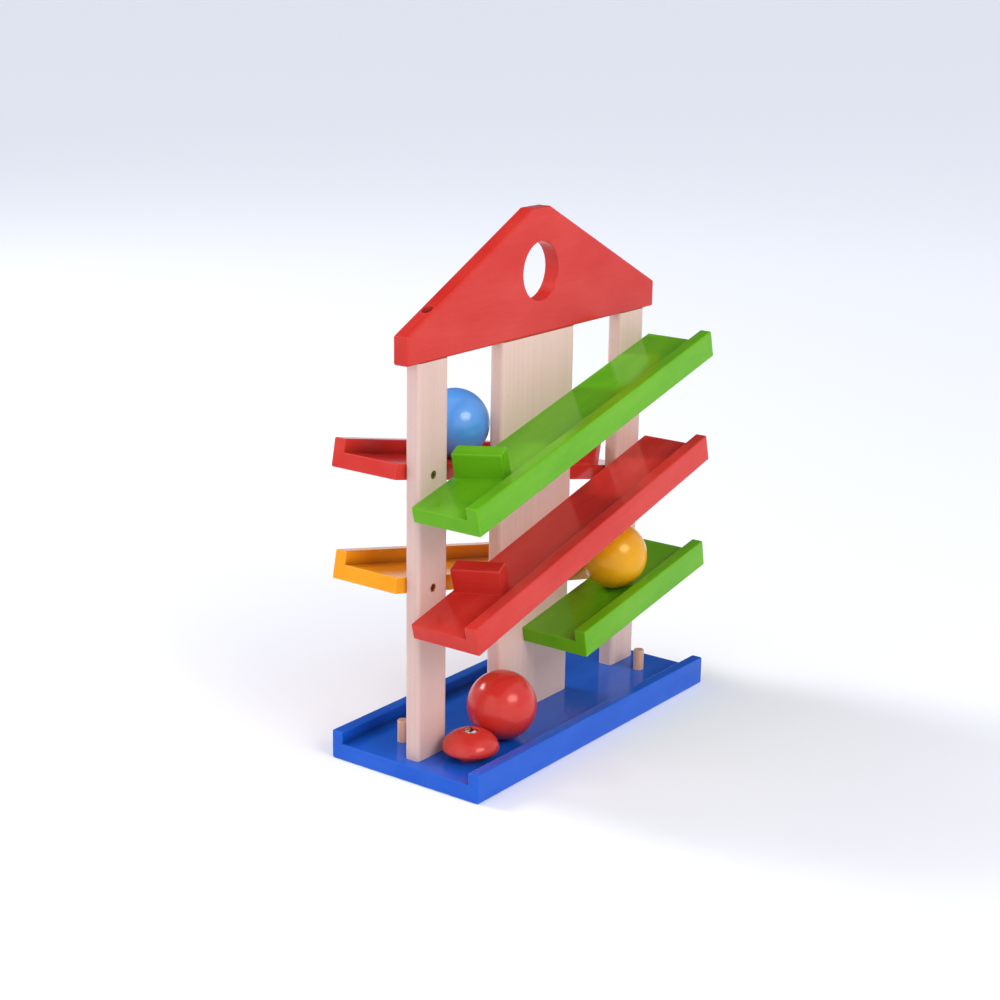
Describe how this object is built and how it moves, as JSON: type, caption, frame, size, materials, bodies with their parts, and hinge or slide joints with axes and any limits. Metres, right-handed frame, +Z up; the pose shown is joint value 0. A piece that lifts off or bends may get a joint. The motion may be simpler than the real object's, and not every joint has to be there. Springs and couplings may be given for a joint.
{
  "type": "marble run",
  "caption": "Wooden ball run: posts on a tray carry sloping ramps and a gabled board; a ball zigzags down through the gaps to the tray.",
  "frame": {"origin": "middle of the tray's underside", "axes": "+X along the tray towards the high end of the upper front ramp, +Y to the back, +Z up"},
  "size_m": [0.297, 0.13, 0.382],
  "materials": {
    "blue_lacquer": "gloss lacquer",
    "red_lacquer": "gloss lacquer",
    "green_lacquer": "gloss lacquer",
    "yellow_lacquer": "gloss lacquer",
    "sky_lacquer": "gloss lacquer",
    "bare_beech": "sanded, unfinished",
    "bell_chrome": "polished",
    "dark_steel": "dark oxide",
    "pellet_steel": "bright"
  },
  "bodies": {
    "stand": {"base_tray": "blue_lacquer", "left_post": "bare_beech", "middle_post": "bare_beech", "right_post": "bare_beech", "roof_board": "red_lacquer", "upper_front_ramp": "green_lacquer", "upper_front_deflector": "green_lacquer", "upper_back_ramp": "red_lacquer", "upper_back_deflector": "red_lacquer", "lower_front_ramp": "red_lacquer", "lower_front_deflector": "red_lacquer", "lower_back_ramp": "yellow_lacquer", "lower_back_deflector": "yellow_lacquer", "bottom_front_ramp": "green_lacquer", "left_stop_peg": "bare_beech", "right_stop_peg": "bare_beech", "roof_dowels": "bare_beech", "front_ramp_screws": "dark_steel", "back_ramp_screws": "dark_steel", "roof_screws": "dark_steel", "tray_screws": "dark_steel"},
    "blue_ball": {"blue_ball": "sky_lacquer"},
    "yellow_ball": {"yellow_ball": "yellow_lacquer"},
    "red_ball": {"red_ball": "red_lacquer"},
    "bell_roller": {"bell_roller": "red_lacquer", "bell_plug": "bare_beech", "bell_upper_shell": "bell_chrome", "bell_lower_shell": "bell_chrome"},
    "bell_pellet": {"bell_pellet": "pellet_steel"}
  },
  "joints": [
    {"name": "blue_ball_roll", "type": "slide", "parent": "stand", "child": "blue_ball", "axis": [0.9789, 0, -0.2045], "range_m": [-0.08, 0.108]},
    {"name": "yellow_ball_roll", "type": "slide", "parent": "stand", "child": "yellow_ball", "axis": [-0.9829, 0, -0.184], "range_m": [-0.068, 0.084]},
    {"name": "red_ball_roll", "type": "slide", "parent": "stand", "child": "red_ball", "axis": [-0.2011, 0.9796, 0], "range_m": [-0.01, 0.058]},
    {"name": "bell_roller_slide", "type": "slide", "parent": "stand", "child": "bell_roller", "axis": [-1, 0, 0], "range_m": [0, 0.028]},
    {"name": "pellet_rattle", "type": "slide", "parent": "bell_roller", "child": "bell_pellet", "axis": [0, 0, 1], "range_m": [0, 0.006]}
  ]
}
